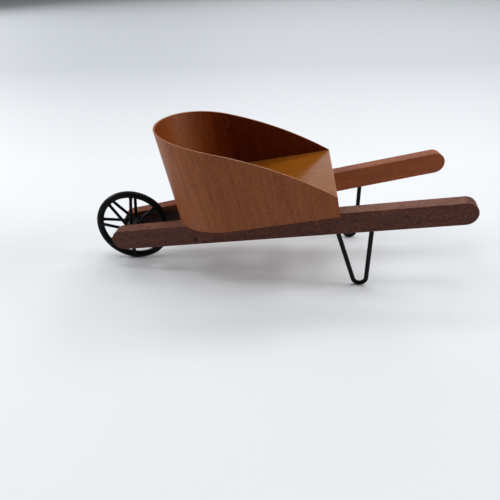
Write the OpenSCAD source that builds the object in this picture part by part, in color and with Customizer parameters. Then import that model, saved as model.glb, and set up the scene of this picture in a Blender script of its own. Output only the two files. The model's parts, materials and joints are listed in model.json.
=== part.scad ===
// Tabletop wheelbarrow: two splayed hardwood rails, a solid tray floor wrapped by a bent
// wooden sheet, two sprung wire legs and a double-spoked wire wheel on a fixed axle.
// Millimetres. +X points forwards to the wheel, +Y to the left and +Z up. The origin is on
// the ground, under the middle of the whole object.

/* [Rails] */
// Length of a rail, with both round ends
rail_len = 254; // [230:1:310]
// Depth of a rail, seen from the side
rail_depth = 15.5; // [13:0.5:20]
// Thickness of a rail, seen from above
rail_thick = 10.2; // [8:0.2:13]
// Angle that each rail turns outwards towards its handle
rail_splay = 6.65; // [5:0.05:8]
// Angle that the rails rise towards the handles
rail_slope = 9.1; // [7:0.1:11]

/* [Wheel] */
// Outer diameter of the wheel
wheel_d = 57.15; // [50:0.05:70]
// Thickness of the round bar that the rim is bent from
rim_bar_d = 5.1; // [3.6:0.1:6]
// Diameter of the hub
hub_d = 9; // [8.4:0.1:10]
// Length of the hub
hub_len = 16.5; // [13:0.5:22]
// Number of spokes in each of the two rows
spokes_per_row = 8; // [6:1:9]
// Diameter of a spoke
spoke_d = 2.3; // [1.5:0.1:2.4]
// Distance from the middle of the hub to a row of spokes
spoke_row_y = 6.9; // [4.5:0.1:7]
// Distance from the middle of the rim to the spoke ends in it
spoke_tip_y = 1.4; // [1.3:0.05:1.5]
// Angle between the two spokes of a pair, seen from the side
spoke_stagger = 5.4; // [5:0.1:9]
// Angle that the wheel is turned at rest
wheel_turn = 7.3; // [0:0.1:45]

/* [Axle] */
// Diameter of the axle
axle_d = 3.175; // [2.4:0.005:4]
// Depth that each end of the axle is set into its rail
axle_sink = 5.5; // [3:0.1:6.5]
// Distance from the axle forwards to the centre of a rail's round end
axle_setback = 3.5; // [0:0.1:5]
// Height of the axle above the rail's centre line
axle_rise = 1.8; // [0:0.1:3]
// Diameter of the washers beside the hub
washer_d = 7; // [5.5:0.1:9]
// Thickness of a washer
washer_t = 0.8; // [0.5:0.1:1.5]

/* [Tray] */
// Length of the tray at its base
tray_len = 115.5; // [95:0.5:140]
// Outside width of the tray at its base
tray_w = 87; // [80:0.5:106]
// Distance from the rails' front round centres back to the tray
tray_setback = 44; // [38:0.5:54]
// Height of the tray's front, above the top of the rails
tray_front_h = 68; // [50:0.5:85]
// Radius of the rim's long curve, seen from the side
rim_curve_r = 285; // [200:5:400]
// Angle that the tray's wall leans outwards
tray_lean = 1.2; // [0.5:0.1:3]
// Thickness of the tray's wall
sheet_t = 1.2; // [0.8:0.1:2]
// Thickness of the tray's floor
floor_t = 14.3; // [12:0.1:20]

/* [Legs] */
// Diameter of the leg wire
wire_d = 3.175; // [2.4:0.005:4]
// Distance between a leg's two holes in the rail
leg_spread = 23; // [18:0.5:30]
// Radius of the bend at the foot, to the middle of the wire
leg_bend_r = 4.7; // [3:0.1:7]
// Distance from the tray's rear back to the middle of the leg
leg_behind = 9; // [6:0.5:30]
// Depth of the leg's holes in the rail
leg_sink = 9; // [5:0.5:11]

/* [Screws] */
// Diameter of the screws that hold the tray
screw_d = 3.5; // [2.5:0.1:4]
// Diameter of their countersunk heads
screw_head_d = 6.9; // [5.5:0.1:7.6]
// Depth that a screw reaches into the tray's floor
screw_bite = 9.5; // [6:0.5:11]
// Distance from the tray's front back to the front screws
screw_front = 20; // [14:0.5:30]
// Distance from the tray's rear forwards to the rear screws
screw_rear = 18; // [14:0.5:24]

/* [Clearances] */
// Gap all round the axle inside the hub
axle_gap = 0.06; // [0.02:0.01:0.1]
// Gap at each face of a washer
side_play = 0.3; // [0.2:0.05:0.5]
// Gap all round the axle inside a washer
washer_gap = 0.15; // [0.1:0.05:0.3]
// Gap all round a screw's shank inside the rail
shank_gap = 0.15; // [0.1:0.05:0.3]

/* [Hidden] */
SPOKE_NUMBERS = [1 : spokes_per_row];
SCREW_NUMBERS = [1 : 4];
$fn = 96;

LEFT = 1;
RIGHT = -1;
OVERCUT = 1; // how far a cutter runs past the face that it opens
REACH = 400; // longer than any piece, for trimming shapes

RAIL_WOOD = [0.30, 0.17, 0.14];
TRAY_WOOD = [0.45, 0.27, 0.17];
FLOOR_WOOD = [0.62, 0.42, 0.28];
BLACK = [0.05, 0.05, 0.05];
STEEL = [0.55, 0.52, 0.48];

// The axle stands at the wheel's own radius.
wheel_r = wheel_d / 2;
rim_r = wheel_r - rim_bar_d / 2;
axle_r = axle_d / 2;
wire_r = wire_d / 2;
rail_span = rail_len - rail_depth; // between the centres of the two round ends
deck_h = rail_depth / 2; // top of the rails above their centre line

// Across the wheel: hub, play, washer, play and then the rails' inner faces, which the
// splay brings closest at the front edge of the washer.
washer_y = hub_len / 2 + side_play;
rail_half_y = rail_thick / 2 / cos(rail_splay); // half the thickness, measured across
rail_front_y = washer_y + washer_t + side_play + rail_half_y
    - (axle_setback - washer_d / 2) * tan(rail_splay);
axle_half = rail_front_y + axle_setback * tan(rail_splay) - rail_half_y + axle_sink;

// The tray, along the deck from the rails' front round centres, with heights above the deck.
tray_r = tray_w / 2;
tray_front_x = -tray_setback;
tray_rear_x = tray_front_x - tray_len;
bend_x = tray_front_x - tray_r; // centre of the round front
rim_front = [tray_front_x + tray_front_h * tan(tray_lean), tray_front_h];
rim_rear = [tray_rear_x, floor_t];
rim_chord = rim_front - rim_rear;
rim_centre = (rim_front + rim_rear) / 2
    + sqrt(pow(rim_curve_r, 2) - pow(norm(rim_chord) / 2, 2))
    * [rim_chord[1], -rim_chord[0]] / norm(rim_chord);

// A leg, in its rail's upright plane: distances along the rail and above its centre line.
leg_mid = -tray_rear_x / cos(rail_splay) + leg_behind;
foot_reach = leg_bend_r * sqrt(1 - pow(sin(rail_slope) * sin(rail_splay), 2)) + wire_r;
deck_front_z = wheel_r - axle_setback * sin(rail_slope) - axle_rise * cos(rail_slope);
foot_h = (foot_reach - deck_front_z - leg_mid * cos(rail_splay) * sin(rail_slope))
    / cos(rail_slope);
leg_drop = -deck_h - foot_h;
leg_run = norm([leg_spread / 2, leg_drop]);
strand_tilt = atan(leg_spread / 2 / leg_drop) - asin(leg_bend_r / leg_run);
strand_len = sqrt(pow(leg_run, 2) - pow(leg_bend_r, 2));

// A spoke, from inside the hub wall to the middle of the rim's bar.
spoke_sink = 1;
spoke_from = [hub_d / 2 - spoke_sink, spoke_row_y];
spoke_to = [rim_r, spoke_tip_y];
spoke_fall = atan((spoke_from[1] - spoke_to[1]) / (spoke_to[0] - spoke_from[0]));
spoke_step = 360 / spokes_per_row;

// A tray screw: flat head flush with the rail's underside, plain shank and a point.
screw_head_h = (screw_head_d - screw_d) / 2;
screw_len = rail_depth + screw_bite;
screw_point = 4;
screw_tip_d = 0.5;
slot_w = 1;
slot_depth = 0.9;

// The origin is below the middle of the whole length, wheel to handles.
rear_x = axle_setback * cos(rail_slope) - axle_rise * sin(rail_slope)
    - cos(rail_slope) * (rail_span * cos(rail_splay) + rail_thick / 2 * sin(rail_splay))
    - deck_h * norm([cos(rail_slope) * cos(rail_splay), sin(rail_slope)]);
middle_x = (wheel_r + rear_x) / 2;

// Puts children drawn about the axle at its place.
module at_axle() {
    translate([-middle_x, 0, wheel_r]) children();
}

// Puts children drawn on the sloping deck: X = 0 at the rails' front round centres and
// Z = 0 on the rails' centre lines.
module on_deck() {
    at_axle() rotate([0, rail_slope, 0]) translate([axle_setback, 0, -axle_rise]) children();
}

// Puts children drawn along a rail: X runs back from its front round centre.
module along_rail(side) {
    on_deck() translate([0, side * rail_front_y, 0])
        rotate([0, 0, 180 - side * rail_splay]) children();
}

// Puts children at a screw's place, with Z = 0 on the rail's underside.
module at_screw(i) {
    side = i % 2 == 1 ? LEFT : RIGHT;
    x = i <= 2 ? tray_front_x - screw_front : tray_rear_x + screw_rear;
    on_deck() translate([x, side * (rail_front_y - x * tan(rail_splay)), -deck_h]) children();
}

module rail_blank() {
    rotate([90, 0, 0]) linear_extrude(height = rail_thick, center = true) union() {
        circle(d = rail_depth);
        translate([0, -deck_h]) square([rail_span, rail_depth]);
        translate([rail_span, 0]) circle(d = rail_depth);
    }
}

module rail(side) {
    color(RAIL_WOOD) difference() {
        along_rail(side) rail_blank();
        axle_rod();
        leg_wire(side);
        for (i = SCREW_NUMBERS) at_screw(i) screw_hole();
    }
}

module axle_rod() {
    at_axle() rotate([90, 0, 0]) cylinder(r = axle_r, h = 2 * axle_half, center = true);
}

module axle() {
    color(STEEL) axle_rod();
}

module washer(side) {
    color(STEEL) at_axle() translate([0, side * (washer_y + washer_t / 2), 0])
        rotate([90, 0, 0]) difference() {
            cylinder(d = washer_d, h = washer_t, center = true);
            cylinder(r = axle_r + washer_gap, h = washer_t + 2 * OVERCUT, center = true);
        }
}

// One straight strand of a leg, from the foot's bend up into the rail.
module leg_strand() {
    rotate([0, strand_tilt, 0]) translate([leg_bend_r, 0, 0])
        cylinder(r = wire_r, h = strand_len + leg_sink);
}

module leg_wire(side) {
    along_rail(side) translate([leg_mid, 0, foot_h]) {
        leg_strand();
        mirror([1, 0, 0]) leg_strand();
        rotate([90, 0, 0]) rotate([0, 0, 180 + strand_tilt])
            rotate_extrude(angle = 180 - 2 * strand_tilt)
                translate([leg_bend_r, 0]) circle(r = wire_r);
    }
}

module leg(side) {
    color(BLACK) leg_wire(side);
}

// A solid with a round front and straight sides that all lean outwards. r is its half width
// at the base, and it runs back to x_rear.
module tray_form(r, h, x_rear) {
    top_r = r + h * tan(tray_lean);
    translate([bend_x, 0, 0]) intersection() {
        cylinder(r1 = r, r2 = top_r, h = h);
        translate([0, -REACH / 2, -OVERCUT]) cube([REACH, REACH, h + 2 * OVERCUT]);
    }
    translate([x_rear, 0, 0]) rotate([90, 0, 90]) linear_extrude(height = bend_x - x_rear)
        polygon([[-r, 0], [r, 0], [top_r, h], [-top_r, h]]);
}

module tray_floor() {
    color(FLOOR_WOOD) difference() {
        on_deck() translate([0, 0, deck_h]) tray_form(tray_r - sheet_t, floor_t, tray_rear_x);
        for (i = SCREW_NUMBERS) at_screw(i) screw_body();
    }
}

// The bent wall: one sheet round the floor's edge, cut along a single arc.
module tray_sheet() {
    blank_h = tray_front_h + OVERCUT;
    inner_r = tray_r - sheet_t;
    color(TRAY_WOOD) on_deck() translate([0, 0, deck_h]) intersection() {
        difference() {
            tray_form(tray_r, blank_h, tray_rear_x);
            tray_form(inner_r, blank_h, tray_rear_x - OVERCUT);
            translate([0, 0, blank_h]) linear_extrude(height = OVERCUT)
                square(REACH * 2, center = true);
        }
        translate([rim_centre[0], 0, rim_centre[1]]) rotate([90, 0, 0])
            cylinder(r = rim_curve_r, h = REACH, center = true, $fn = 360);
    }
}

module screw_body() {
    cylinder(d1 = screw_head_d, d2 = screw_d, h = screw_head_h);
    cylinder(d = screw_d, h = screw_len - screw_point);
    translate([0, 0, screw_len - screw_point])
        cylinder(d1 = screw_d, d2 = screw_tip_d, h = screw_point);
}

module screw_hole() {
    cylinder(d1 = screw_head_d, d2 = screw_d, h = screw_head_h);
    cylinder(r = screw_d / 2 + shank_gap, h = rail_depth + OVERCUT);
}

module tray_screw(i) {
    color(STEEL) at_screw(i) difference() {
        screw_body();
        translate([-screw_head_d / 2, -slot_w / 2, -OVERCUT])
            cube([screw_head_d, slot_w, slot_depth + OVERCUT]);
    }
}

// One spoke of a row, drawn about the axle.
module spoke_wire(side, i) {
    rotate([0, side * spoke_stagger / 2 - wheel_turn - (i - 1) * spoke_step, 0])
        translate([spoke_from[0], side * spoke_from[1], 0]) rotate([0, 90, -side * spoke_fall])
            cylinder(d = spoke_d, h = norm(spoke_to - spoke_from));
}

module spoke(side, i) {
    color(BLACK) at_axle() spoke_wire(side, i);
}

module all_spokes() {
    for (side = [LEFT, RIGHT], i = SPOKE_NUMBERS) spoke_wire(side, i);
}

module wheel_rim() {
    color(BLACK) at_axle() difference() {
        rotate([90, 0, 0]) rotate_extrude() translate([rim_r, 0]) circle(d = rim_bar_d);
        all_spokes();
    }
}

module wheel_hub() {
    color(BLACK) at_axle() difference() {
        rotate([90, 0, 0]) cylinder(d = hub_d, h = hub_len, center = true);
        rotate([90, 0, 0]) cylinder(r = axle_r + axle_gap, h = hub_len + 2 * OVERCUT, center = true);
        all_spokes();
    }
}

rail(LEFT);  // left_rail
rail(RIGHT);  // right_rail
tray_floor();
tray_sheet();
leg(LEFT);  // left_leg
leg(RIGHT);  // right_leg
axle();
washer(LEFT);  // left_washer
washer(RIGHT);  // right_washer
wheel_rim();
wheel_hub();
for (i = SPOKE_NUMBERS) spoke(LEFT, i);
for (i = SPOKE_NUMBERS) spoke(RIGHT, i);
for (i = SCREW_NUMBERS) tray_screw(i);
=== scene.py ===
"""Tabletop wheelbarrow: hardwood rails, a bent-wood tray on a thick board, wire legs, wire wheel.

+X points forwards to the wheel, +Y to the left and +Z up. The origin is on the ground.
"""

import json
import math

import bmesh
import bpy
from mathutils import Matrix, Vector


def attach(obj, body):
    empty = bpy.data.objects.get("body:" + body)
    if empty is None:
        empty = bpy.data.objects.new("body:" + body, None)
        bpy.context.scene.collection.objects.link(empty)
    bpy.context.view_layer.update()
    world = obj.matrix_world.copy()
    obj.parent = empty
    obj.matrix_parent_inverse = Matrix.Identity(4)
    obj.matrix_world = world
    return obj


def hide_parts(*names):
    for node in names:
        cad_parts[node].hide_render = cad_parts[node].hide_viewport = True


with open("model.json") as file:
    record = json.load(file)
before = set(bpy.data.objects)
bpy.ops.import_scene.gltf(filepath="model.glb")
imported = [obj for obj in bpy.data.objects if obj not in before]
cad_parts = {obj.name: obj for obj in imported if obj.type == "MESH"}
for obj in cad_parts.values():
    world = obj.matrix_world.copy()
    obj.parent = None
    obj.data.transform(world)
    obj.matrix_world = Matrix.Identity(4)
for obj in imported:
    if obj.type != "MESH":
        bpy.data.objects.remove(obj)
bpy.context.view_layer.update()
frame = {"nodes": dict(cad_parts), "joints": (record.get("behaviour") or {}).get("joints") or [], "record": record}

MM = 0.001

# The barrow's own sizes, as the CAD part has them: lengths in millimetres, angles from degrees.
RAIL_LEN = 254.0
RAIL_DEPTH = 15.5
RAIL_THICK = 10.2
RAIL_SPLAY = math.radians(6.65)
RAIL_SLOPE = math.radians(9.1)
RAIL_FRONT_Y = 14.785
AXLE_SETBACK = 3.5
AXLE_RISE = 1.8
AXLE_D = 3.175
TRAY_LEN = 115.5
TRAY_W = 87.0
TRAY_SETBACK = 44.0
TRAY_FRONT_H = 68.0
RIM_CURVE_R = 285.0
TRAY_LEAN = math.tan(math.radians(1.2))
SHEET_T = 1.2
FLOOR_T = 14.3
WIRE_D = 3.175
LEG_SPREAD = 23.0
LEG_BEHIND = 9.0
LEG_TILT = math.radians(9.6)
WHEEL_D = 57.15
RIM_BAR_D = 5.1
HUB_D = 9.0
SPOKE_ROW_Y = 6.9
SPOKE_TIP_Y = 1.4
SPOKES_PER_ROW = 8
SPOKE_STAGGER = math.radians(5.4)
WHEEL_TURN = math.radians(7.3)

RAIL_SPAN = RAIL_LEN - RAIL_DEPTH
DECK_H = RAIL_DEPTH / 2
TRAY_R = TRAY_W / 2
TRAY_REAR_X = -TRAY_SETBACK - TRAY_LEN
BEND_X = -TRAY_SETBACK - TRAY_R
LEG_MID = -TRAY_REAR_X / math.cos(RAIL_SPLAY) + LEG_BEHIND

LEFT, RIGHT = 1, -1

# Rounding of the wood's edges, in millimetres.
RAIL_EASE = 0.45
SHEET_EASE = 0.28
BOARD_EASE = 0.35

# Holes drilled in the rails, in millimetres. They are shallower than the wire and the axle go,
# whose hidden ends run on into the wood. A bit starts outside the wood.
LEG_HOLE_PLAY = 0.18
LEG_HOLE_DEPTH = 7.0
LEG_DRILL_START = 3.0
AXLE_HOLE_PLAY = 0.15
AXLE_HOLE_REACH = 14.64
DRILL_SIDES = 40

# Slack for telling whether two places are the same, and whether a point lies on a face.
SAME = 1e-6
ON_FACE = 0.01

# The deck's frame: X = 0 at the rails' front round centres, Z = 0 on their centre lines.
AXLE = Vector(frame["joints"][0]["pos_m"])
DECK = (
    Matrix.Translation(AXLE)
    @ Matrix.Rotation(RAIL_SLOPE, 4, "Y")
    @ Matrix.Translation(Vector((AXLE_SETBACK, 0, -AXLE_RISE)) * MM)
    @ Matrix.Scale(MM, 4)
)


def rail_frame(side):
    """Millimetres along a rail: X runs back from its front round centre, Z is up."""
    turn = Matrix.Rotation(math.pi - side * RAIL_SPLAY, 4, "Z")
    return DECK @ Matrix.Translation((0, side * RAIL_FRONT_Y, 0)) @ turn


# --------------------------------------------------------------------------- mesh helpers


def new_piece(name, bm, into, materials, smooth_below=40):
    """Makes an object at the origin from a bmesh drawn in the frame `into`."""
    bmesh.ops.transform(bm, matrix=into, verts=bm.verts)
    if into.determinant() < 0:
        bmesh.ops.reverse_faces(bm, faces=bm.faces)
    mesh = bpy.data.meshes.new(name)
    bm.to_mesh(mesh)
    bm.free()
    for material in materials:
        mesh.materials.append(material)
    mesh.shade_smooth()
    mesh.set_sharp_from_angle(angle=math.radians(smooth_below))
    piece = bpy.data.objects.new(name, mesh)
    bpy.context.scene.collection.objects.link(piece)
    return piece


def bake_modifiers(piece):
    """Turns the piece with its modifiers into a plain mesh."""
    bpy.context.view_layer.update()
    graph = bpy.context.evaluated_depsgraph_get()
    done = bpy.data.meshes.new_from_object(
        piece.evaluated_get(graph), preserve_all_data_layers=True, depsgraph=graph
    )
    piece.modifiers.clear()
    old = piece.data
    piece.data = done
    done.name = old.name
    bpy.data.meshes.remove(old)
    return piece


def even_out_normals(piece):
    """Keeps broad faces flat beside their rounded edges."""
    weights = piece.modifiers.new("even_normals", "WEIGHTED_NORMAL")
    weights.keep_sharp = True
    weights.weight = 90
    return bake_modifiers(piece)


def mark_wear_and_sheen(bm, wear_and_sheen_at):
    """Writes a 0 to 1 value on every vertex, for the wood's rubbed edges and, on the rails, the painted sheen of
    their tops.
    """
    layer = bm.verts.layers.float.new("edge_wear_and_top_sheen")
    for vert in bm.verts:
        vert[layer] = wear_and_sheen_at(vert)


def drill(piece, bits):
    """Cuts round holes: each bit is (start, end, radius) in metres."""
    for start, end, radius in bits:
        bm = bmesh.new()
        bmesh.ops.create_cone(
            bm,
            cap_ends=True,
            segments=DRILL_SIDES,
            radius1=radius,
            radius2=radius,
            depth=(end - start).length,
        )
        turn = (end - start).to_track_quat("Z", "Y").to_matrix().to_4x4()
        bmesh.ops.transform(bm, matrix=Matrix.Translation((start + end) / 2) @ turn, verts=bm.verts)
        mesh = bpy.data.meshes.new("drill_bit")
        bm.to_mesh(mesh)
        bm.free()
        bit = bpy.data.objects.new("drill_bit", mesh)
        bpy.context.scene.collection.objects.link(bit)
        cut = piece.modifiers.new("hole", "BOOLEAN")
        cut.operation = "DIFFERENCE"
        cut.solver = "EXACT"
        cut.object = bit
        bake_modifiers(piece)
        bpy.data.objects.remove(bit)
        bpy.data.meshes.remove(mesh)
    return piece


# ----------------------------------------------------------------------- shader helpers


# A Mix node holds sockets for every kind of data: these are the ones for colours.
MIX_FACTOR, MIX_A, MIX_B = 0, 6, 7
MIX_RESULT = 2


def add(tree, kind, inputs=None, **settings):
    """Adds a node. `inputs` gives socket values, or sockets to link from, by name or index."""
    node = tree.nodes.new(kind)
    for key, value in settings.items():
        setattr(node, key, value)
    for key, value in (inputs or {}).items():
        if isinstance(value, bpy.types.NodeSocket):
            tree.links.new(value, node.inputs[key])
        else:
            node.inputs[key].default_value = value
    return node


def arithmetic(tree, operation, a, b, clamp=False):
    """One step of arithmetic on two values."""
    return add(tree, "ShaderNodeMath", {0: a, 1: b}, operation=operation, use_clamp=clamp).outputs[0]


def vector_arithmetic(tree, operation, a, b):
    """One step of arithmetic on two vectors."""
    return add(tree, "ShaderNodeVectorMath", {0: a, 1: b}, operation=operation).outputs[0]


def mix_colour(tree, factor, a, b):
    """Colour a where the factor is 0, going over to b where it is 1."""
    values = {MIX_FACTOR: factor, MIX_A: a, MIX_B: b}
    return add(tree, "ShaderNodeMix", values, data_type="RGBA").outputs[MIX_RESULT]


def remap(tree, value, from_min, from_max, to_min=0.0, to_max=1.0):
    """Stretches one range of values over another, and holds at its ends."""
    node = add(
        tree,
        "ShaderNodeMapRange",
        {0: value, 1: from_min, 2: from_max, 3: to_min, 4: to_max},
        clamp=True,
    )
    return node.outputs[0]


def cloud(tree, vector, scale, detail):
    """The outputs of plain noise, with `scale` blobs to one unit of the vector."""
    return add(tree, "ShaderNodeTexNoise", {"Vector": vector, "Scale": scale, "Detail": detail}).outputs


def new_group(name, inputs, outputs):
    """A shader node group with named sockets: {name: (kind, default)} and {name: kind}."""
    group = bpy.data.node_groups.new(name, "ShaderNodeTree")
    for socket_name, (kind, default) in inputs.items():
        socket = group.interface.new_socket(socket_name, in_out="INPUT", socket_type=kind)
        if default is not None:
            socket.default_value = default
    for socket_name, kind in outputs.items():
        group.interface.new_socket(socket_name, in_out="OUTPUT", socket_type=kind)
    source = group.nodes.new("NodeGroupInput")
    sink = group.nodes.new("NodeGroupOutput")
    return group, source.outputs, sink.inputs


def place_group(tree, group, values):
    """Puts a group in a material with its own values, and gives its outputs."""
    return add(tree, "ShaderNodeGroup", values, node_tree=group).outputs


def streaks(tree, vector, length, width, detail=2.0, roughness=0.5):
    """Noise drawn out along X: `length` and `width` are sockets or numbers in millimetres."""
    size = add(tree, "ShaderNodeCombineXYZ", {0: length, 1: width, 2: width}).outputs[0]
    drawn = vector_arithmetic(tree, "DIVIDE", vector, size)
    values = {"Vector": drawn, "Scale": 1.0, "Detail": detail, "Roughness": roughness}
    return add(tree, "ShaderNodeTexNoise", values).outputs["Fac"]


# How the grain wanders across, in millimetres, and how slowly, in waves per millimetre.
GRAIN_SWAY = (0.0, 6.0, 6.0)
SWAY_SCALE = 0.02
# How many times as long as wide the figure and the fibres are.
FIGURE_STRETCH = 14.0
FIBRE_STRETCH = 30.0
# Far enough off for the flecks not to follow the pores, in millimetres.
FLECK_SHIFT = (131.0, 57.0, 83.0)
# Noise levels where each part of the grain sets in and is full.
FIGURE_LEVELS = (0.32, 0.68)
FIBRE_LEVELS = (0.3, 0.7)
FLECK_LEVELS = (0.52, 0.66)
# The pores' level for a share of 0 and of 1, and how much further on they are full.
PORE_LEVELS = (0.72, 0.42)
PORE_SOFTNESS = 0.09


def make_grain_group():
    """Figure, fibre, flecks and pores of wood whose grain runs along X, in millimetres."""
    group, given, result = new_group(
        "wood_grain",
        {
            "Place": ("NodeSocketVector", None),
            "Figure Width": ("NodeSocketFloat", 5.0),
            "Fibre Width": ("NodeSocketFloat", 0.5),
            "Fleck Length": ("NodeSocketFloat", 2.0),
            "Fleck Width": ("NodeSocketFloat", 0.5),
            "Pore Length": ("NodeSocketFloat", 2.5),
            "Pore Width": ("NodeSocketFloat", 0.3),
            "Pore Share": ("NodeSocketFloat", 0.5),
        },
        {
            "Figure": "NodeSocketFloat",
            "Fibre": "NodeSocketFloat",
            "Flecks": "NodeSocketFloat",
            "Pores": "NodeSocketFloat",
        },
    )
    wander = cloud(group, given["Place"], SWAY_SCALE, detail=1.0)["Color"]
    sway = vector_arithmetic(group, "MULTIPLY", wander, GRAIN_SWAY)
    swayed = vector_arithmetic(group, "ADD", given["Place"], sway)

    figure_length = arithmetic(group, "MULTIPLY", given["Figure Width"], FIGURE_STRETCH)
    figure = streaks(group, swayed, figure_length, given["Figure Width"], detail=3.0)
    group.links.new(remap(group, figure, *FIGURE_LEVELS), result["Figure"])

    fibre_length = arithmetic(group, "MULTIPLY", given["Fibre Width"], FIBRE_STRETCH)
    fibre = streaks(group, swayed, fibre_length, given["Fibre Width"], detail=3.0, roughness=0.7)
    group.links.new(remap(group, fibre, *FIBRE_LEVELS), result["Fibre"])

    elsewhere = vector_arithmetic(group, "ADD", swayed, FLECK_SHIFT)
    flecks = streaks(group, elsewhere, given["Fleck Length"], given["Fleck Width"], detail=1.0)
    group.links.new(remap(group, flecks, *FLECK_LEVELS), result["Flecks"])

    pores = streaks(group, swayed, given["Pore Length"], given["Pore Width"], detail=1.0)
    start = remap(group, given["Pore Share"], 0.0, 1.0, *PORE_LEVELS)
    end = arithmetic(group, "ADD", start, PORE_SOFTNESS)
    group.links.new(remap(group, pores, start, end), result["Pores"])
    return group


def make_wear_and_sheen_group():
    """Where edges are rubbed, and where the rails' tops carry a painted sheen: the mesh's own value, broken up by
    noise.
    """
    group, given, result = new_group(
        "edge_rub_and_sheen",
        {
            "Place": ("NodeSocketVector", None),
            "Edge": ("NodeSocketFloat", 0.0),
            "Patch Size": ("NodeSocketFloat", 6.0),
            "Amount": ("NodeSocketFloat", 0.6),
        },
        {"Rub": "NodeSocketFloat"},
    )
    size = given["Patch Size"]
    patches = streaks(group, given["Place"], size, size, detail=4.0, roughness=0.65)
    patches = remap(group, patches, from_min=0.32, from_max=0.6, to_min=0.25)
    rub_and_sheen = arithmetic(group, "MULTIPLY", given["Edge"], patches)
    rub_and_sheen = arithmetic(group, "MULTIPLY", rub_and_sheen, given["Amount"], clamp=True)
    group.links.new(rub_and_sheen, result["Rub"])
    return group


def make_spot_group():
    """1 inside an egg-shaped spot, fading to 0 at its rim."""
    group, given, result = new_group(
        "spot",
        {
            "Place": ("NodeSocketVector", None),
            "Centre": ("NodeSocketVector", (0.0, 0.0, 0.0)),
            "Size": ("NodeSocketVector", (1.0, 1.0, 1.0)),
            "Fade": ("NodeSocketFloat", 0.5),
        },
        {"Spot": "NodeSocketFloat"},
    )
    off = vector_arithmetic(group, "SUBTRACT", given["Place"], given["Centre"])
    off = vector_arithmetic(group, "DIVIDE", off, given["Size"])
    away = add(group, "ShaderNodeVectorMath", {0: off}, operation="LENGTH").outputs["Value"]
    inner = arithmetic(group, "SUBTRACT", 1.0, given["Fade"])
    group.links.new(remap(group, away, 1.0, inner), result["Spot"])
    return group


def make_marks_group():
    """Marks of two sizes on paint and metal: fine ones all over, and broad patches."""
    group, given, result = new_group(
        "surface_marks",
        {
            "Place": ("NodeSocketVector", None),
            "Fine Scale": ("NodeSocketFloat", 1000.0),
            "Fine Detail": ("NodeSocketFloat", 2.0),
            "Patch Scale": ("NodeSocketFloat", 200.0),
            "Patch Detail": ("NodeSocketFloat", 3.0),
        },
        {"Fine": "NodeSocketFloat", "Patches": "NodeSocketFloat"},
    )
    fine = cloud(group, given["Place"], given["Fine Scale"], given["Fine Detail"])["Fac"]
    group.links.new(fine, result["Fine"])
    patches = cloud(group, given["Place"], given["Patch Scale"], given["Patch Detail"])["Fac"]
    group.links.new(patches, result["Patches"])
    return group


GRAIN = make_grain_group()
WEAR_AND_SHEEN = make_wear_and_sheen_group()
SPOT = make_spot_group()
MARKS = make_marks_group()

# How strongly each finish mirrors the light, as the shader's specular level.
OILED = 0.24
PAINTED = 0.12


# How much of the light tone the fibres and the flecks bring.
FIBRE_TINT = 0.6
FLECK_TINT = 0.45
# How far the fibres stand up beside the flecks, and the flecks beside the depth of the pores.
FIBRE_LIFT = 0.4
FLECK_LIFT = 0.4


def new_material(name, roughness=0.5, specular=0.5, metallic=0.0):
    """A material with its node tree and its shader."""
    material = bpy.data.materials.new(name)
    material.use_nodes = True
    tree = material.node_tree
    shader = tree.nodes["Principled BSDF"]
    shader.inputs["Roughness"].default_value = roughness
    shader.inputs["Specular IOR Level"].default_value = specular
    shader.inputs["Metallic"].default_value = metallic
    return material, tree, shader


def object_place(tree, into):
    """Object coordinates turned into the millimetres of the frame `into`."""
    back = into.inverted()
    coords = add(tree, "ShaderNodeTexCoord").outputs["Object"]
    mapping = add(tree, "ShaderNodeMapping", {"Vector": coords}, vector_type="POINT")
    mapping.inputs["Location"].default_value = back.to_translation()
    mapping.inputs["Rotation"].default_value = back.to_3x3().normalized().to_euler()
    mapping.inputs["Scale"].default_value = back.to_scale()
    return mapping.outputs[0]


def sheet_place(tree):
    """The sheet's own UV map in millimetres, turned so that X runs up the sheet with its grain."""
    uv = add(tree, "ShaderNodeUVMap", uv_map="sheet_mm").outputs[0]
    parts = add(tree, "ShaderNodeSeparateXYZ", {0: uv})
    return add(
        tree, "ShaderNodeCombineXYZ", {0: parts.outputs[1], 1: parts.outputs[0], 2: 0.0}
    ).outputs[0]


def spots(tree, place, rows):
    """Several spots as one mask. rows: (centre, size, fade, strength)."""
    mask = 0.0
    for centre, size, fade, strength in rows:
        values = {"Place": place, "Centre": centre, "Size": size, "Fade": fade}
        spot = place_group(tree, SPOT, values)["Spot"]
        mask = arithmetic(tree, "MAXIMUM", mask, arithmetic(tree, "MULTIPLY", spot, strength))
    return mask


def roughen(tree, shader, height, relief):
    """Raises the surface by a height from 0 to 1, with its relief in metres."""
    bump = add(tree, "ShaderNodeBump", {"Height": height, "Distance": relief, "Strength": 1.0})
    tree.links.new(bump.outputs[0], shader.inputs["Normal"])


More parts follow.
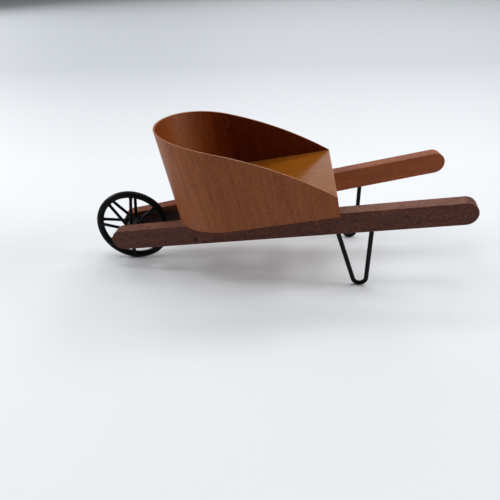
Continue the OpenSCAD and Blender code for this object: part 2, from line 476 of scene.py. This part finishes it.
def paint_wood(tree, shader, place, tones, grain, roughness, relief, rub_and_sheen=0.0, marks=(), pores=0.8):
    """Wood from its tones, grain sizes, range of roughness and relief in metres.

    marks are extra masks with their own colours, laid on last: (mask, colour).
    """
    wood = place_group(tree, GRAIN, {"Place": place, **grain})
    colour = mix_colour(tree, wood["Figure"], tones["deep"], tones["mid"])
    layers = (("Fibre", FIBRE_TINT, "light"), ("Flecks", FLECK_TINT, "light"), ("Pores", pores, "pore"))
    for part, strength, tone in layers:
        mask = arithmetic(tree, "MULTIPLY", wood[part], strength)
        colour = mix_colour(tree, mask, colour, tones[tone])
    # The rubbed edges, and on the rails the painted sheen of their tops, in the worn tone.
    if rub_and_sheen:
        edge = add(tree, "ShaderNodeAttribute", attribute_name="edge_wear_and_top_sheen").outputs["Fac"]
        mask = place_group(tree, WEAR_AND_SHEEN, {"Place": place, "Edge": edge, "Amount": rub_and_sheen})["Rub"]
        colour = mix_colour(tree, mask, colour, tones["worn_and_sheen"])
    for mask, mark_colour in marks:
        colour = mix_colour(tree, mask, colour, mark_colour)
    tree.links.new(colour, shader.inputs["Base Color"])
    tree.links.new(remap(tree, wood["Pores"], 0.0, 1.0, *roughness), shader.inputs["Roughness"])
    raised = arithmetic(tree, "MULTIPLY", wood["Fibre"], FIBRE_LIFT)
    raised = arithmetic(tree, "ADD", raised, wood["Flecks"])
    raised = arithmetic(tree, "MULTIPLY", raised, FLECK_LIFT)
    height = arithmetic(tree, "SUBTRACT", raised, wood["Pores"])
    roughen(tree, shader, height, relief)


def rgb(red, green, blue):
    """A linear colour from 0 to 255 display values."""

    def channel(value):
        value /= 255
        return value / 12.92 if value <= 0.04045 else ((value + 0.055) / 1.055) ** 2.4

    return (channel(red), channel(green), channel(blue), 1.0)


def wood_tones(deep, mid, light, pore, worn_and_sheen):
    """The colours of a wood, each from 0 to 255 display values."""
    tones = {"deep": deep, "mid": mid, "light": light, "pore": pore, "worn_and_sheen": worn_and_sheen}
    return {name: rgb(*tone) for name, tone in tones.items()}


def grain_sizes(figure, fibre, fleck, pore, pore_share):
    """Values for the grain group, in millimetres. fleck and pore are (length, width)."""
    return {
        "Figure Width": figure,
        "Fibre Width": fibre,
        "Fleck Length": fleck[0],
        "Fleck Width": fleck[1],
        "Pore Length": pore[0],
        "Pore Width": pore[1],
        "Pore Share": pore_share,
    }


# ---------------------------------------------------------------------------- materials


KNOT_HEART = rgb(10, 5, 5)
# The colour of painted shade, near black.
PAINTED_SHADE_TONE = rgb(30, 8, 4)
# The colour of the painted light inside the bend, golden.
GOLDEN_PAINTED_LIGHT = rgb(128, 70, 18)
# A pin knot's dark ring and its heart: size in millimetres, fade, strength.
KNOT_RING = ((2.4, 2.0, 4.2), 0.9, 0.75)
KNOT_CORE = ((1.15, 1.5, 1.5), 0.45, 1.0)


def make_rail_wood(name, side, tones, pores, knot=None, painted_shade=()):
    """Open-pored hardwood with its grain along the rail, with a pin knot and patches of painted shade where given.
    """
    material, tree, shader = new_material(name, specular=OILED)
    place = object_place(tree, rail_frame(side))
    marks = []
    if knot:
        marks.append((spots(tree, place, [(knot, *KNOT_RING)]), tones["pore"]))
        marks.append((spots(tree, place, [(knot, *KNOT_CORE)]), KNOT_HEART))
    # Painted shade: the wood darkened where it lies in shade.
    if painted_shade:
        marks.append((spots(tree, place, painted_shade), PAINTED_SHADE_TONE))
    paint_wood(
        tree,
        shader,
        place,
        tones,
        grain_sizes(figure=3.6, fibre=0.6, fleck=(2.2, 0.5), pore=(2.0, 0.34), pore_share=0.66),
        roughness=(0.46, 0.72),
        relief=0.00014,
        rub_and_sheen=0.85,
        marks=marks,
        pores=pores,
    )
    return material


def make_sheet_face(name, tones, roughness, specular=OILED, painted_light=(), checks=()):
    """Thin bent face wood, grain up and down, with a golden pool of painted light and hairline checks if given."""
    material, tree, shader = new_material(name, specular=specular)
    place = sheet_place(tree)
    marks = []
    # Painted light: a golden pool where light falls inside the bend.
    if painted_light:
        marks.append((spots(tree, place, painted_light), GOLDEN_PAINTED_LIGHT))
    if checks:
        marks.append((spots(tree, place, checks), tones["worn_and_sheen"]))
    paint_wood(
        tree,
        shader,
        place,
        tones,
        grain_sizes(figure=3.4, fibre=0.5, fleck=(1.3, 0.6), pore=(2.0, 0.36), pore_share=0.4),
        roughness,
        relief=0.00007,
        marks=marks,
        pores=0.62,
    )
    return material


def make_sheet_edge():
    """The sheet's cut edge: paler, with short end grain."""
    material, tree, shader = new_material("sheet_cut_edge", specular=OILED)
    place = object_place(tree, DECK)
    paint_wood(
        tree,
        shader,
        place,
        wood_tones(
            deep=(128, 76, 46),
            mid=(152, 98, 64),
            light=(178, 122, 86),
            pore=(84, 46, 26),
            worn_and_sheen=(178, 122, 86),
        ),
        grain_sizes(figure=1.5, fibre=0.25, fleck=(0.8, 0.5), pore=(0.8, 0.5), pore_share=0.45),
        roughness=(0.5, 0.65),
        relief=0.00003,
    )
    return material


def make_board_wood():
    """Close-grained golden board, grain from front to rear."""
    material, tree, shader = new_material("floor_board_wood", specular=0.14)
    place = object_place(tree, DECK)
    paint_wood(
        tree,
        shader,
        place,
        wood_tones(
            deep=(116, 59, 7),
            mid=(132, 72, 11),
            light=(154, 92, 24),
            pore=(90, 40, 4),
            worn_and_sheen=(186, 128, 84),
        ),
        grain_sizes(figure=5.0, fibre=0.55, fleck=(2.2, 0.6), pore=(1.6, 0.4), pore_share=0.3),
        roughness=(0.33, 0.46),
        relief=0.00004,
        rub_and_sheen=0.7,
    )
    return material


PAINT_MARKS = {"Fine Scale": 900.0, "Fine Detail": 2.0, "Patch Scale": 160.0, "Patch Detail": 3.0}
METAL_MARKS = {"Fine Scale": 2200.0, "Fine Detail": 3.0, "Patch Scale": 420.0, "Patch Detail": 4.0}
BLACK_PAINT = (0.0018, 0.0021, 0.0023, 1.0)
DUSTY_PAINT = (0.005, 0.0053, 0.0056, 1.0)
TARNISH_SHADE = 0.55


def make_black_finish(name, roughness):
    """Satin black paint on wire, with a faint uneven skin and dull patches."""
    material, tree, shader = new_material(name, specular=PAINTED)
    place = add(tree, "ShaderNodeTexCoord").outputs["Object"]
    marks = place_group(tree, MARKS, {"Place": place, **PAINT_MARKS})
    gloss = remap(
        tree,
        marks["Patches"],
        from_min=0.35,
        from_max=0.65,
        to_min=roughness - 0.06,
        to_max=roughness + 0.1,
    )
    tree.links.new(gloss, shader.inputs["Roughness"])
    dusty = remap(tree, marks["Patches"], from_min=0.55, from_max=0.75)
    tree.links.new(mix_colour(tree, dusty, BLACK_PAINT, DUSTY_PAINT), shader.inputs["Base Color"])
    roughen(tree, shader, marks["Fine"], relief=0.00003)
    return material


def make_steel(name, tone, roughness):
    """Bare metal with fine marks and a little tarnish."""
    material, tree, shader = new_material(name, metallic=1.0)
    place = add(tree, "ShaderNodeTexCoord").outputs["Object"]
    marks = place_group(tree, MARKS, {"Place": place, **METAL_MARKS})
    gloss = remap(
        tree,
        marks["Fine"],
        from_min=0.3,
        from_max=0.7,
        to_min=roughness - 0.08,
        to_max=roughness + 0.12,
    )
    tree.links.new(gloss, shader.inputs["Roughness"])
    tarnish = remap(tree, marks["Patches"], from_min=0.4, from_max=0.7)
    dull = tuple(value * TARNISH_SHADE for value in tone[:3]) + (1.0,)
    tree.links.new(mix_colour(tree, tarnish, tone, dull), shader.inputs["Base Color"])
    roughen(tree, shader, marks["Fine"], relief=0.00001)
    return material


# A pin knot on the left rail's outer face: back from the front round centre, sideways, up.
PIN_KNOT = (57.9, -RAIL_THICK / 2, -3.7)
# Hairline checks inside the far wall: (height, run along the sheet), size, fade, strength.
BEND_CHECKS = (
    ((47.6, 73.6, 0.0), (3.4, 0.45, 1.0), 0.9, 0.75),
    ((45.2, 75.4, 0.0), (0.45, 2.1, 1.0), 0.9, 0.6),
    ((40.2, 77.4, 0.0), (5.0, 0.42, 1.0), 0.9, 0.5),
    ((31.0, 80.4, 0.0), (0.8, 0.6, 1.0), 0.9, 0.5),
)
# Painted light inside the bend, where the low light from the handle side falls: (height, run along the sheet),
# size, fade, strength.
BEND_PAINTED_LIGHT = (((40.0, 117.0, 0.0), (90.0, 33.0, 1.0), 0.85, 0.55),)
# Painted shade at the right rail's wheel end, where the wheel and the tray shade it: dark on its inner face and
# more faintly all round.
FRONT_PAINTED_SHADE = (
    ((14.0, -RAIL_THICK / 2, -1.0), (52.0, 1.4, 13.0), 0.6, 0.97),
    ((6.0, 0.0, 0.0), (58.0, 30.0, 30.0), 0.9, 0.5),
)

LEFT_RAIL_WOOD = make_rail_wood(
    "left_rail_wood",
    LEFT,
    wood_tones(
        deep=(78, 37, 26),
        mid=(95, 47, 34),
        light=(122, 69, 51),
        pore=(40, 14, 10),
        worn_and_sheen=(158, 104, 82),
    ),
    pores=0.7,
    knot=PIN_KNOT,
)
RIGHT_RAIL_WOOD = make_rail_wood(
    "right_rail_wood",
    RIGHT,
    wood_tones(
        deep=(134, 62, 24),
        mid=(152, 74, 29),
        light=(168, 90, 42),
        pore=(100, 42, 16),
        worn_and_sheen=(128, 74, 50),
    ),
    pores=0.3,
    # Painted shade beside the wheel.
    painted_shade=FRONT_PAINTED_SHADE,
)
SHEET_OUTSIDE = make_sheet_face(
    "sheet_outside",
    wood_tones(
        deep=(118, 57, 22),
        mid=(145, 77, 33),
        light=(166, 96, 48),
        pore=(84, 38, 15),
        worn_and_sheen=(176, 120, 84),
    ),
    roughness=(0.44, 0.58),
)
# The same veneer as the outside, in darker, redder tones as painted shade inside the tray.
SHEET_INSIDE = make_sheet_face(
    "sheet_inside",
    wood_tones(
        deep=(70, 16, 2),
        mid=(96, 28, 3),
        light=(136, 62, 10),
        pore=(46, 9, 1),
        worn_and_sheen=(164, 104, 76),
    ),
    roughness=(0.36, 0.5),
    specular=0.14,
    painted_light=BEND_PAINTED_LIGHT,
    checks=BEND_CHECKS,
)
SHEET_EDGE = make_sheet_edge()
BOARD_WOOD = make_board_wood()
LEG_BLACK = make_black_finish("leg_black", roughness=0.34)
WHEEL_BLACK = make_black_finish("wheel_black", roughness=0.42)
AXLE_STEEL = make_steel("axle_steel", tone=(0.42, 0.40, 0.37, 1.0), roughness=0.38)
SCREW_ZINC = make_steel("screw_zinc", tone=(0.60, 0.57, 0.50, 1.0), roughness=0.30)


# -------------------------------------------------------------------------------- rails


def stadium(length, depth, steps):
    """Outline of a bar with round ends, in X and Z, with points along the straights too."""
    r = depth / 2
    points = []
    for i in range(steps + 1):
        angle = math.pi / 2 + math.pi * i / steps
        points.append((r * math.cos(angle), r * math.sin(angle)))
    for i in range(steps + 1):
        angle = -math.pi / 2 + math.pi * i / steps
        points.append((length + r * math.cos(angle), r * math.sin(angle)))
    return points


def make_rail(side, name, material, node, top_sheen=0.0):
    """A bar with round ends and lightly sanded long edges, drilled for the leg and the axle, with its top painted
    in the worn tone as a sheen.
    """
    bm = bmesh.new()
    outline = stadium(RAIL_SPAN, RAIL_DEPTH, steps=28)
    rings = [
        [bm.verts.new((x, y, z)) for x, z in outline] for y in (-RAIL_THICK / 2, RAIL_THICK / 2)
    ]
    count = len(outline)
    for i in range(count):
        j = (i + 1) % count
        bm.faces.new((rings[0][i], rings[0][j], rings[1][j], rings[1][i]))
    bm.faces.new(rings[0][::-1])
    bm.faces.new(rings[1])
    bmesh.ops.recalc_face_normals(bm, faces=bm.faces)
    edges = [e for e in bm.edges if abs(e.verts[0].co.y - e.verts[1].co.y) < SAME]
    bmesh.ops.bevel(bm, geom=edges, offset=RAIL_EASE, segments=4, profile=0.5, affect="EDGES")
    rounding_from = RAIL_THICK / 2 - RAIL_EASE * 0.9
    rounding_to = RAIL_THICK / 2 - RAIL_EASE * 0.2

    def wear_and_sheen_at(vert):
        if rounding_from < abs(vert.co.y) < rounding_to:
            return 1.0
        # The whole top face gets a painted sheen in the worn tone.
        return top_sheen if vert.co.z > DECK_H - ON_FACE else 0.0

    mark_wear_and_sheen(bm, wear_and_sheen_at)
    into = rail_frame(side)
    piece = new_piece(name, bm, into, [material])
    leg_hole_r = (WIRE_D / 2 + LEG_HOLE_PLAY) * MM
    bits = []
    for lean in (-1, 1):
        mouth = Vector((LEG_MID + lean * LEG_SPREAD / 2, 0, -DECK_H))
        run = Vector((lean * math.sin(LEG_TILT), 0, math.cos(LEG_TILT)))
        start, end = mouth - run * LEG_DRILL_START, mouth + run * LEG_HOLE_DEPTH
        bits.append((into @ start, into @ end, leg_hole_r))
    reach = Vector((0, side * AXLE_HOLE_REACH * MM, 0))
    bits.append((AXLE, AXLE + reach, (AXLE_D / 2 + AXLE_HOLE_PLAY) * MM))
    drill(piece, bits)
    even_out_normals(piece)
    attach(piece, "frame")
    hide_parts(node)


# --------------------------------------------------------------------------------- tray


def rim_height(x):
    """Height of the rim above the deck, from the arc through its front and rear ends."""
    front = Vector((-TRAY_SETBACK + TRAY_FRONT_H * TRAY_LEAN, TRAY_FRONT_H))
    rear = Vector((TRAY_REAR_X, FLOOR_T))
    chord = front - rear
    off = math.sqrt(RIM_CURVE_R**2 - (chord.length / 2) ** 2)
    centre = (front + rear) / 2 + off * Vector((chord.y, -chord.x)) / chord.length
    return centre.y + math.sqrt(RIM_CURVE_R**2 - (x - centre.x) ** 2)


def wall_point(station, radius, height):
    """A point on the leaning wall. station is (x on the straight, or None; angle round the bend)."""
    straight_x, angle = station
    r = radius + height * TRAY_LEAN
    if straight_x is not None:
        return Vector((straight_x, math.copysign(r, angle), height))
    return Vector((BEND_X + r * math.cos(angle), r * math.sin(angle), height))


# Rounds of going up to the rim and reading its height there, each closer than the last.
RIM_ROUNDS = 24


def rim_point(station, radius):
    """The wall's point at the height where the rim's curve cuts it."""
    height = FLOOR_T
    for _ in range(RIM_ROUNDS):
        point = wall_point(station, radius, height)
        height = rim_height(point.x)
    return wall_point(station, radius, height)


def wall_stations(straight_steps, bend_steps):
    """Places round the wall, from the right rear corner round the front to the left one."""
    side_len = BEND_X - TRAY_REAR_X
    right = [
        (TRAY_REAR_X + side_len * i / straight_steps, -math.pi / 2) for i in range(straight_steps)
    ]
    bend = [(None, -math.pi / 2 + math.pi * i / bend_steps) for i in range(bend_steps + 1)]
    left = [(x, math.pi / 2) for x, _ in reversed(right)]
    return right + bend + left


# The sheet's three surfaces, by their place in its list of materials.
OUTSIDE, INSIDE, CUT = 0, 1, 2
# Points up each face of the sheet, and steps round each corner of its rim.
FACE_ROWS = 10
CORNER_STEPS = 4


def make_tray_wall():
    """The bent sheet: outer face, rounded cut edge and inner face swept round the board."""
    ease = SHEET_EASE
    outer, inner = TRAY_R, TRAY_R - SHEET_T
    stations = wall_stations(straight_steps=34, bend_steps=96)
    bm = bmesh.new()
    uv_layer = bm.loops.layers.uv.new("sheet_mm")
    columns = []
    run = 0.0
    last = None
    for station in stations:
        base = wall_point(station, outer, 0)
        run += (base - last).length if last else 0.0
        last = base
        top_out, top_in = rim_point(station, outer), rim_point(station, inner)
        foot_out, foot_in = base, wall_point(station, inner, 0)
        across = (top_in - top_out).normalized()
        up_out = (top_out - foot_out).normalized()
        up_in = (top_in - foot_in).normalized()
        column = []
        for i in range(FACE_ROWS):
            point = foot_out.lerp(top_out - up_out * ease, i / (FACE_ROWS - 1))
            column.append((point, OUTSIDE))
        corner = top_out - up_out * ease + across * ease
        for i in range(1, CORNER_STEPS):
            turn = math.pi / 2 * i / CORNER_STEPS
            point = corner - across * ease * math.cos(turn) + up_out * ease * math.sin(turn)
            column.append((point, CUT))
        column.append((top_out + across * ease, CUT))
        column.append((top_in - across * ease, CUT))
        corner = top_in - up_in * ease - across * ease
        for i in range(1, CORNER_STEPS):
            turn = math.pi / 2 * i / CORNER_STEPS
            point = corner + across * ease * math.sin(turn) + up_in * ease * math.cos(turn)
            column.append((point, CUT))
        for i in range(FACE_ROWS):
            point = (top_in - up_in * ease).lerp(foot_in, i / (FACE_ROWS - 1))
            column.append((point, INSIDE))
        columns.append((run, [(bm.verts.new(p), kind, p.z) for p, kind in column]))
    size = len(columns[0][1])
    for (run_a, a), (run_b, b) in zip(columns, columns[1:]):
        for i in range(size):
            j = (i + 1) % size
            corners = ((a[i], run_a), (a[j], run_a), (b[j], run_b), (b[i], run_b))
            face = bm.faces.new([corner[0][0] for corner in corners])
            kinds = {a[i][1], a[j][1]}
            face.material_index = CUT if CUT in kinds or len(kinds) > 1 else kinds.pop()
            for loop, ((_, _, height), along) in zip(face.loops, corners):
                loop[uv_layer].uv = (along, height)
    for _, end in (columns[0], columns[-1]):
        face = bm.faces.new([vert for vert, _, _ in end])
        face.material_index = CUT
        for loop in face.loops:
            loop[uv_layer].uv = (loop.vert.co.x, loop.vert.co.z)
    bmesh.ops.recalc_face_normals(bm, faces=bm.faces)
    into = DECK @ Matrix.Translation((0, 0, DECK_H))
    piece = new_piece("tray_wall_sheet", bm, into, [SHEET_OUTSIDE, SHEET_INSIDE, SHEET_EDGE])
    even_out_normals(piece)
    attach(piece, "frame")
    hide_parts("tray_sheet")


def make_tray_board():
    """The thick board that the sheet is bent round, with eased edges."""
    radius = TRAY_R - SHEET_T
    stations = wall_stations(straight_steps=2, bend_steps=72)
    bm = bmesh.new()
    rings = [[bm.verts.new(wall_point(s, radius, h)) for s in stations] for h in (0.0, FLOOR_T)]
    count = len(stations)
    for i in range(count):
        j = (i + 1) % count
        bm.faces.new((rings[0][i], rings[0][j], rings[1][j], rings[1][i]))
    bm.faces.new(rings[0][::-1])
    bm.faces.new(rings[1])
    bmesh.ops.recalc_face_normals(bm, faces=bm.faces)
    edges = [e for e in bm.edges if abs(e.verts[0].co.z - e.verts[1].co.z) < SAME]
    bmesh.ops.bevel(bm, geom=edges, offset=BOARD_EASE, segments=3, profile=0.5, affect="EDGES")
    bm.normal_update()
    level = [f for f in bm.faces if f.normal.z > 0.99]
    top = [f for f in level if f.calc_center_median().z > FLOOR_T - ON_FACE]
    bmesh.ops.inset_region(bm, faces=top, thickness=0.5, use_even_offset=True)
    inner = {vert.co.to_tuple(3) for face in top for vert in face.verts}

    def wear_and_sheen_at(vert):
        on_rim = vert.co.z > FLOOR_T - BOARD_EASE * 0.95
        return 1.0 if on_rim and vert.co.to_tuple(3) not in inner else 0.0

    mark_wear_and_sheen(bm, wear_and_sheen_at)
    into = DECK @ Matrix.Translation((0, 0, DECK_H))
    piece = new_piece("tray_floor_board", bm, into, [BOARD_WOOD])
    even_out_normals(piece)
    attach(piece, "frame")
    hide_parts("tray_floor")


# -------------------------------------------------------------------------------- wheel


def make_weld_tree():
    """Beads on a ring: one at each spoke end, with its own count, place and size."""
    tree = bpy.data.node_groups.new("weld_beads", "GeometryNodeTree")
    face = tree.interface
    face.new_socket("Geometry", in_out="INPUT", socket_type="NodeSocketGeometry")
    for name, kind in (
        ("Count", "NodeSocketInt"),
        ("Ring Radius", "NodeSocketFloat"),
        ("Side Offset", "NodeSocketFloat"),
        ("Turn", "NodeSocketFloat"),
        ("Bead Size", "NodeSocketVector"),
        ("Material", "NodeSocketMaterial"),
    ):
        face.new_socket(name, in_out="INPUT", socket_type=kind)
    face.new_socket("Geometry", in_out="OUTPUT", socket_type="NodeSocketGeometry")
    given = tree.nodes.new("NodeGroupInput").outputs
    sink = tree.nodes.new("NodeGroupOutput")
    ring = add(
        tree,
        "GeometryNodeMeshCircle",
        {"Vertices": given["Count"], "Radius": given["Ring Radius"]},
    )
    number = add(tree, "GeometryNodeInputIndex").outputs[0]
    step = arithmetic(tree, "DIVIDE", math.tau, given["Count"])
    spin = add(tree, "ShaderNodeCombineXYZ", {2: arithmetic(tree, "MULTIPLY", number, step)}).outputs[0]
    bead = add(tree, "GeometryNodeMeshUVSphere", {"Segments": 20, "Rings": 12, "Radius": 1.0})
    beads = add(
        tree,
        "GeometryNodeInstanceOnPoints",
        {"Points": ring.outputs[0], "Instance": bead.outputs[0], "Scale": given["Bead Size"]},
    )
    tree.links.new(spin, beads.inputs["Rotation"])
    offset = add(tree, "ShaderNodeCombineXYZ", {2: given["Side Offset"]}).outputs[0]
    turn = add(tree, "ShaderNodeCombineXYZ", {2: given["Turn"]}).outputs[0]
    placed = add(
        tree,
        "GeometryNodeTransform",
        {"Geometry": beads.outputs[0], "Translation": offset, "Rotation": turn},
    )
    whole = add(tree, "GeometryNodeRealizeInstances", {0: placed.outputs[0]})
    painted = add(
        tree,
        "GeometryNodeSetMaterial",
        {0: whole.outputs[0], "Material": given["Material"]},
    )
    tree.links.new(painted.outputs[0], sink.inputs[0])
    return tree


def make_weld_ring(tree, side, ring_radius, side_offset, bead_size):
    """One row of beads, made in the plane of the ring and then stood up on the axle."""
    mesh = bpy.data.meshes.new("weld_row")
    row = bpy.data.objects.new("weld_row", mesh)
    bpy.context.scene.collection.objects.link(row)
    maker = row.modifiers.new("beads", "NODES")
    maker.node_group = tree
    values = {
        "Count": SPOKES_PER_ROW,
        "Ring Radius": ring_radius,
        "Side Offset": -side * side_offset,
        "Turn": WHEEL_TURN - side * SPOKE_STAGGER / 2,
        "Bead Size": bead_size,
        "Material": WHEEL_BLACK,
    }
    for item in tree.interface.items_tree:
        if item.in_out == "INPUT" and item.name in values:
            maker[item.identifier] = values[item.name]
    bake_modifiers(row)
    upright = Matrix.Rotation(math.pi / 2, 4, "X")
    row.data.transform(Matrix.Translation(AXLE) @ upright @ Matrix.Scale(MM, 4))
    return row


# Half sizes of the beads, in millimetres: along the spoke, round the ring, along the axle.
RIM_BEAD = (1.5, 1.45, 1.3)
HUB_BEAD = (0.9, 1.25, 1.2)
# Where the beads' middles lie: this far into the rim, out from the hub, and in from the row.
RIM_BEAD_SINK = 0.25
HUB_BEAD_RISE = 0.1
HUB_BEAD_INSET = 0.3
SPOKE_SINK = 1.0


def make_spoke_welds():
    """Small fillets where the spokes run into the rim and the hub, joined as one piece."""
    tree = make_weld_tree()
    hub_r = HUB_D / 2
    rim_middle_r = (WHEEL_D - RIM_BAR_D) / 2
    rim_inner_r = WHEEL_D / 2 - RIM_BAR_D
    fall = (SPOKE_ROW_Y - SPOKE_TIP_Y) / (rim_middle_r - hub_r + SPOKE_SINK)
    rim_ring = (rim_inner_r + RIM_BEAD_SINK, SPOKE_TIP_Y + fall * RIM_BAR_D / 2, RIM_BEAD)
    hub_ring = (hub_r + HUB_BEAD_RISE, SPOKE_ROW_Y - HUB_BEAD_INSET, HUB_BEAD)
    rows = []
    for side in (LEFT, RIGHT):
        for ring_radius, side_offset, bead_size in (rim_ring, hub_ring):
            rows.append(make_weld_ring(tree, side, ring_radius, side_offset, bead_size))
    bm = bmesh.new()
    for row in rows:
        bm.from_mesh(row.data)
        mesh = row.data
        bpy.data.objects.remove(row)
        bpy.data.meshes.remove(mesh)
    piece = new_piece("spoke_welds", bm, Matrix.Identity(4), [WHEEL_BLACK], smooth_below=60)
    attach(piece, "wheel")


# --------------------------------------------------------------------- CAD nodes' finish


def finish_cad_nodes():
    """Gives the wire, axle, washers and screws their materials."""
    finishes = {
        "black_wire": LEG_BLACK,
        "black_wheel": WHEEL_BLACK,
        "axle_steel": AXLE_STEEL,
        "screw_steel": SCREW_ZINC,
    }
    for row in frame["record"]["subparts"]:
        finish = finishes.get(row["material_slot"])
        if finish is None:
            continue
        mesh = frame["nodes"][row["node"]].data
        mesh.materials.clear()
        mesh.materials.append(finish)


# ------------------------------------------------------------- studio: floor, light, camera


# The floor's shade falls off between these places, in metres from the barrow.
FLOOR_SHADE_FROM = -0.75
FLOOR_SHADE_TO = -0.2
FLOOR_SHADED = (0.57, 0.60, 0.63, 1.0)
FLOOR_PALE = (0.80, 0.83, 0.86, 1.0)
FLOOR_PALEST = (0.83, 0.86, 0.89, 1.0)


def make_floor():
    """A broad pale sheet that falls off into shade behind the barrow."""
    bm = bmesh.new()
    bmesh.ops.create_grid(bm, x_segments=1, y_segments=1, size=6.0)
    material, tree, shader = new_material("pale_floor", roughness=0.6, specular=0.2)
    coords = add(tree, "ShaderNodeTexCoord").outputs["Object"]
    parts = add(tree, "ShaderNodeSeparateXYZ", {0: coords})
    lit = remap(tree, parts.outputs[1], FLOOR_SHADE_FROM, FLOOR_SHADE_TO)
    blotches = cloud(tree, coords, scale=3.0, detail=2.0)["Fac"]
    mottle = remap(tree, blotches, from_min=0.3, from_max=0.7)
    near = mix_colour(tree, mottle, FLOOR_PALE, FLOOR_PALEST)
    colour = mix_colour(tree, lit, FLOOR_SHADED, near)
    tree.links.new(colour, shader.inputs["Base Color"])
    floor = new_piece("studio_floor", bm, Matrix.Identity(4), [material])


# Soft lights 2.5 m away: name, bearing from straight behind towards the wheel, height angle,
# width and height in metres, watts.
SOFT_LIGHTS = (
    ("window_low", -8, 20, 1.4, 0.4, 7.8),
    ("window_high", -8, 62, 1.2, 0.5, 7.2),
    ("wheel_back_low", 45, 17, 0.8, 0.4, 10.0),
    ("wheel_back_high", 45, 60, 0.8, 0.6, 5.5),
    ("wheel_side", 90, 30, 1.0, 0.5, 22.0),
    ("wheel_high", 90, 62, 0.8, 0.6, 3.6),
    ("handle_back", -45, 48, 0.9, 0.6, 8.6),
    ("handle_low", -90, 15, 0.8, 0.35, 37.0),
    ("handle_high", -90, 60, 0.8, 0.6, 8.0),
    ("ceiling", 0, 88, 1.0, 1.0, 7.0),
    ("ceiling_strip", 180, 78, 1.2, 0.3, 5.5),
)
LIGHT_DISTANCE = 2.5
LIGHTS_AIM = Vector((0, 0, 0.03))
ROOM_COLOUR = (0.97, 0.99, 1.0, 1.0)
ROOM_STRENGTH = 0.055


def make_lights():
    """A faint even room, and the soft lights, all turned towards the barrow."""
    world = bpy.data.worlds.new("studio")
    world.use_nodes = True
    room = world.node_tree.nodes["Background"]
    room.inputs["Color"].default_value = ROOM_COLOUR
    room.inputs["Strength"].default_value = ROOM_STRENGTH
    bpy.context.scene.world = world
    for name, bearing, height, width, tall, watts in SOFT_LIGHTS:
        turn, lift = math.radians(bearing), math.radians(height)
        level = LIGHT_DISTANCE * math.cos(lift)
        up = LIGHT_DISTANCE * math.sin(lift)
        place = Vector((level * math.sin(turn), -level * math.cos(turn), up))
        data = bpy.data.lights.new(name, "AREA")
        data.shape = "RECTANGLE"
        data.size, data.size_y = width, tall
        data.energy = watts
        lamp = bpy.data.objects.new(name, data)
        lamp.location = place
        lamp.rotation_euler = (LIGHTS_AIM - place).to_track_quat("-Z", "Y").to_euler()
        lamp.visible_camera = False
        bpy.context.scene.collection.objects.link(lamp)


# The camera's place in metres, and how it is turned aside, tipped down and rolled, in degrees.
CAMERA_PLACE = (-0.0150, 0.3318, 0.2098)
CAMERA_ANGLES = (5.33, 31.17, -2.18)
CAMERA_LENS = 35.78
CAMERA_SHIFT = (0.0018, -0.0027)


def make_camera():
    """A camera a forearm's length from the barrow's left side, looking down at it."""
    look_turn, look_down, look_roll = (math.radians(angle) for angle in CAMERA_ANGLES)
    look = Vector(
        (
            math.sin(look_turn) * math.cos(look_down),
            -math.cos(look_turn) * math.cos(look_down),
            -math.sin(look_down),
        )
    )
    data = bpy.data.cameras.new("camera")
    data.sensor_width = 36.0
    data.lens = CAMERA_LENS
    data.shift_x, data.shift_y = CAMERA_SHIFT
    data.clip_start = 0.01
    camera = bpy.data.objects.new("camera", data)
    aim = look.to_track_quat("-Z", "Y").to_matrix().to_4x4()
    place = Matrix.Translation(CAMERA_PLACE)
    camera.matrix_world = place @ aim @ Matrix.Rotation(look_roll, 4, "Z")
    bpy.context.scene.collection.objects.link(camera)
    bpy.context.scene.camera = camera
    bpy.context.scene.view_settings.view_transform = "Standard"


# The rails' tops carry a painted sheen.
make_rail(LEFT, "left_rail_bar", LEFT_RAIL_WOOD, "left_rail", top_sheen=0.5)
make_rail(RIGHT, "right_rail_bar", RIGHT_RAIL_WOOD, "right_rail", top_sheen=0.6)
make_tray_wall()
make_tray_board()
make_spoke_welds()
finish_cad_nodes()
make_floor()
make_lights()
make_camera()
